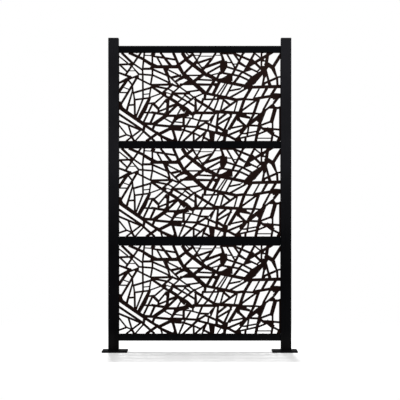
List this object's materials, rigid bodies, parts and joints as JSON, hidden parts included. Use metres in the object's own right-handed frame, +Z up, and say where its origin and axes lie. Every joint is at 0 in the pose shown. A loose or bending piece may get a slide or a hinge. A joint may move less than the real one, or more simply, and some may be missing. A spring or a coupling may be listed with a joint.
{
  "type": "fence panel",
  "caption": "Free-standing metal garden screen: square posts on base plates hold rails and laser-cut sheets with an open pattern of crossing bars.",
  "frame": {"origin": "on the ground, midway between the two posts and midway through their depth", "axes": "+X along the fence, to the right seen from the front; +Y from the front to the back; +Z up"},
  "size_m": [1.2, 0.155, 1.93],
  "materials": {
    "frame_coat": "matt charcoal powder coat",
    "panel_coat": "dark brown powder coat",
    "cap_plastic": "moulded, matt black",
    "insert_alloy": "cast, as made",
    "plated_steel": "zinc plated",
    "black_screw": "black plated"
  },
  "bodies": {
    "root": {"post_left": "frame_coat", "base_plate_left": "frame_coat", "foot_weld_left": "frame_coat", "post_cap_left": "cap_plastic", "post_right": "frame_coat", "base_plate_right": "frame_coat", "foot_weld_right": "frame_coat", "post_cap_right": "cap_plastic", "bottom_rail": "frame_coat", "bottom_rail_insert_left": "insert_alloy", "bottom_rail_insert_right": "insert_alloy", "lower_middle_rail": "frame_coat", "lower_middle_rail_insert_left": "insert_alloy", "lower_middle_rail_insert_right": "insert_alloy", "upper_middle_rail": "frame_coat", "upper_middle_rail_insert_left": "insert_alloy", "upper_middle_rail_insert_right": "insert_alloy", "top_rail": "frame_coat", "top_rail_insert_left": "insert_alloy", "top_rail_insert_right": "insert_alloy", "rail_bolts_left": "plated_steel", "bolt_washers_left": "plated_steel", "access_plugs_left": "cap_plastic", "rail_bolts_right": "plated_steel", "bolt_washers_right": "plated_steel", "access_plugs_right": "cap_plastic", "bottom_panel": "panel_coat", "bottom_panel_screws": "black_screw", "bottom_panel_nuts": "plated_steel", "middle_panel": "panel_coat", "middle_panel_screws": "black_screw", "middle_panel_nuts": "plated_steel", "top_panel": "panel_coat", "top_panel_screws": "black_screw", "top_panel_nuts": "plated_steel"}
  },
  "joints": []
}
